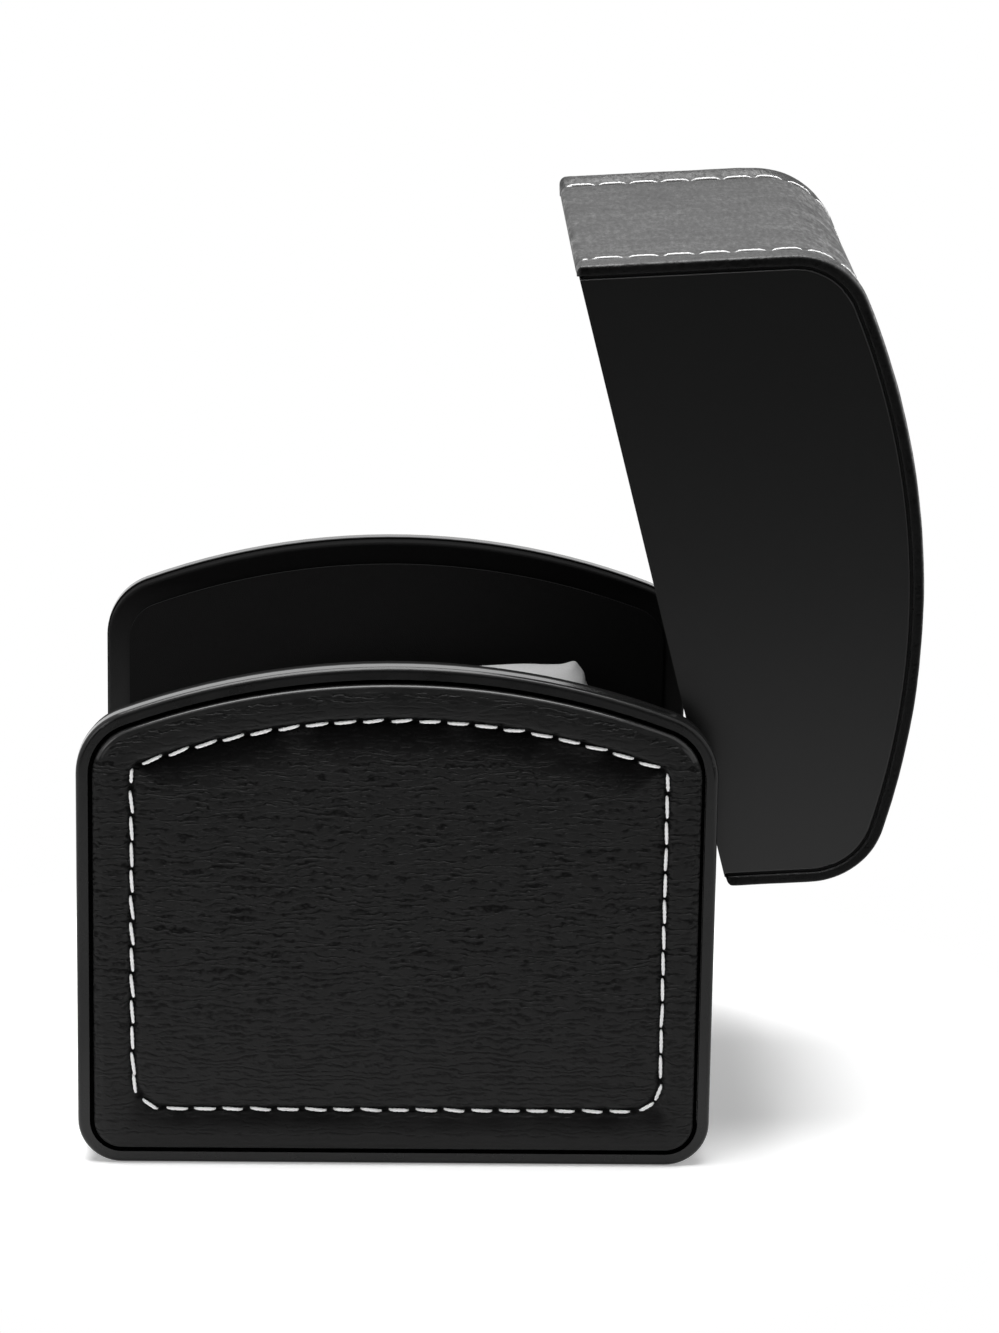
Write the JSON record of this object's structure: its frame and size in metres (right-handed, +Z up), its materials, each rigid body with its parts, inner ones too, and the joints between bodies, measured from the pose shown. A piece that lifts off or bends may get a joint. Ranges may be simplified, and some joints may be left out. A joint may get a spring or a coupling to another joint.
{
  "type": "watch box",
  "caption": "Presentation box for a wrist watch: arched padded side cheeks carry a tub, and a deep lid flips back about a rear hinge over a grey pillow.",
  "frame": {"origin": "middle of the footprint, on the surface that the box stands on", "axes": "+X across the box to the right-hand cheek, +Y from the front to the hinge, +Z up"},
  "size_m": [0.09, 0.1317, 0.1455],
  "materials": {
    "cheek_gloss": "semi-gloss black moulded plastic",
    "cheek_leather": "black grained leathercloth",
    "lid_leather": "black grained leathercloth",
    "lid_plate": "matt black",
    "flock": "black flock",
    "cheek_panel": "pressed board under black covering",
    "board": "dark pressed board",
    "foam": "soft foam",
    "felt": "black felt",
    "pillow_fabric": "light grey plush",
    "hinge_metal": "blackened steel",
    "screw_steel": "zinc plated"
  },
  "bodies": {
    "case": {"cheek_shell_left": "cheek_gloss", "cheek_shell_right": "cheek_gloss", "cheek_panel_left": "cheek_panel", "cheek_panel_right": "cheek_panel", "cheek_lining_left": "flock", "cheek_lining_right": "flock", "cheek_screws": "screw_steel", "pad_board_left": "board", "pad_board_right": "board", "pad_foam_left": "foam", "pad_foam_right": "foam", "pad_leather_left": "cheek_leather", "pad_leather_right": "cheek_leather", "side_board_left": "board", "side_board_right": "board", "side_lining_left": "flock", "side_lining_right": "flock", "floor_board": "board", "front_board": "board", "rear_board": "board", "front_leather": "cheek_leather", "rear_leather": "cheek_leather", "front_lining": "flock", "rear_lining": "flock", "floor_lining": "flock", "base_felt": "felt", "pillow_rest": "flock", "pillow_core": "foam", "pillow_cover": "pillow_fabric", "hinge_base_leaf": "hinge_metal", "hinge_pin": "hinge_metal", "hinge_base_screws": "screw_steel"},
    "lid": {"lid_shell": "board", "lid_leather": "lid_leather", "lid_lining": "flock", "lid_plate_left": "lid_plate", "lid_plate_right": "lid_plate", "lid_side_lining_left": "flock", "lid_side_lining_right": "flock", "hinge_lid_leaf": "hinge_metal", "hinge_lid_screws": "screw_steel"}
  },
  "joints": [
    {"name": "lid_hinge", "type": "hinge", "parent": "case", "child": "lid", "pos_m": [0, 0.0487, 0.04576], "axis": [1, 0, 0], "range_deg": [0, 86.4]}
  ]
}
